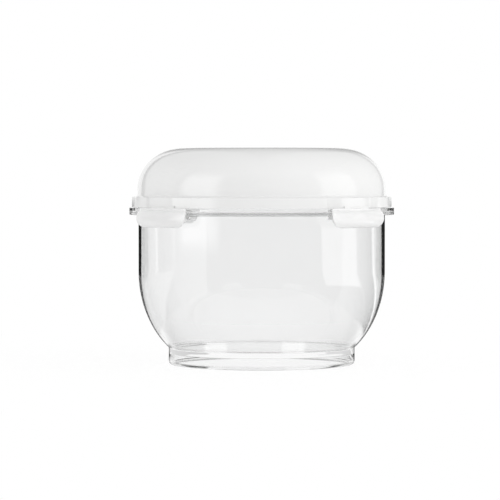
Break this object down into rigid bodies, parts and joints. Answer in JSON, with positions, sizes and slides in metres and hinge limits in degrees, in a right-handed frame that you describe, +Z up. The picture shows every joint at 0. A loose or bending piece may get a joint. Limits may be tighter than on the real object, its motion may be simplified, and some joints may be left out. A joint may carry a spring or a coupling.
{
  "type": "mixing bowl with lid",
  "caption": "Clear round mixing bowl on a foot ring, with a lugged flange, a white domed lid over a soft seal, and hooked latches that swing out on hinge webs.",
  "frame": {"origin": "centre of the foot's underside", "axes": "+Z up along the bowl's axis, -Y towards the front of the picture, with the latches on the diagonals"},
  "size_m": [0.1932, 0.1932, 0.158],
  "materials": {
    "clear_plastic": "clear and glossy",
    "white_plastic": "soft gloss white",
    "silicone": "matt translucent"
  },
  "bodies": {
    "bowl": {"bowl": "clear_plastic"},
    "lid": {"lid": "white_plastic", "seal_ring": "silicone", "hinge_web_front_left": "white_plastic", "hinge_web_front_right": "white_plastic", "hinge_web_back_left": "white_plastic", "hinge_web_back_right": "white_plastic"},
    "latch_front_left": {"latch_front_left": "white_plastic"},
    "latch_front_right": {"latch_front_right": "white_plastic"},
    "latch_back_left": {"latch_back_left": "white_plastic"},
    "latch_back_right": {"latch_back_right": "white_plastic"}
  },
  "joints": [
    {"name": "lid_lift", "type": "slide", "parent": "bowl", "child": "lid", "axis": [0, 0, 1], "range_m": [0, 0.09]},
    {"name": "latch_front_left_swing", "type": "hinge", "parent": "lid", "child": "latch_front_left", "pos_m": [-0.06866, -0.06866, 0.1157], "axis": [-0.7071, 0.7071, 0], "range_deg": [0, 100], "deforming": ["hinge_web_front_left"]},
    {"name": "latch_front_right_swing", "type": "hinge", "parent": "lid", "child": "latch_front_right", "pos_m": [0.06866, -0.06866, 0.1157], "axis": [-0.7071, -0.7071, 0], "range_deg": [0, 100], "deforming": ["hinge_web_front_right"]},
    {"name": "latch_back_left_swing", "type": "hinge", "parent": "lid", "child": "latch_back_left", "pos_m": [-0.06866, 0.06866, 0.1157], "axis": [0.7071, 0.7071, 0], "range_deg": [0, 100], "deforming": ["hinge_web_back_left"]},
    {"name": "latch_back_right_swing", "type": "hinge", "parent": "lid", "child": "latch_back_right", "pos_m": [0.06866, 0.06866, 0.1157], "axis": [0.7071, -0.7071, 0], "range_deg": [0, 100], "deforming": ["hinge_web_back_right"]}
  ]
}
